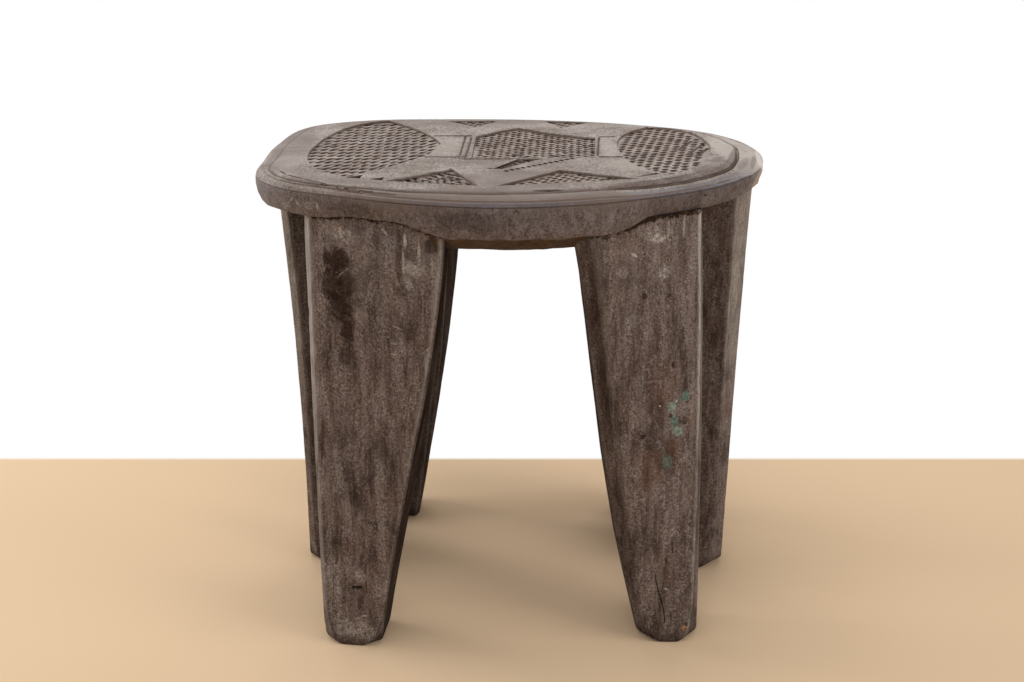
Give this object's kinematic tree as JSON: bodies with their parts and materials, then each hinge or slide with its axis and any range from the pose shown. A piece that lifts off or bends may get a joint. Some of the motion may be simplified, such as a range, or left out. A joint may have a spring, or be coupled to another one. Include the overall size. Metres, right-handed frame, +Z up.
{
  "type": "carved wooden stool",
  "caption": "Low stool carved from one block of wood: a rounded slab seat with a chip-carved top and a rim groove, on broad legs that taper to worn feet.",
  "frame": {"origin": "on the ground under the middle of the seat's bounding box", "axes": "+X along the seat's long side to the right, +Y to the back, +Z up"},
  "size_m": [0.382, 0.312, 0.351],
  "materials": {
    "seat_wood": "grey-brown hardwood, dusty and worn smooth by use, darker in the cuts",
    "leg_wood": "dark brown hardwood with an upright grain, pale scuffs and worn edges"
  },
  "bodies": {
    "root": {"seat": "seat_wood", "leg_front_left": "leg_wood", "leg_front_right": "leg_wood", "leg_right": "leg_wood", "leg_back_right": "leg_wood", "leg_back_left": "leg_wood", "leg_left": "leg_wood"}
  },
  "joints": []
}
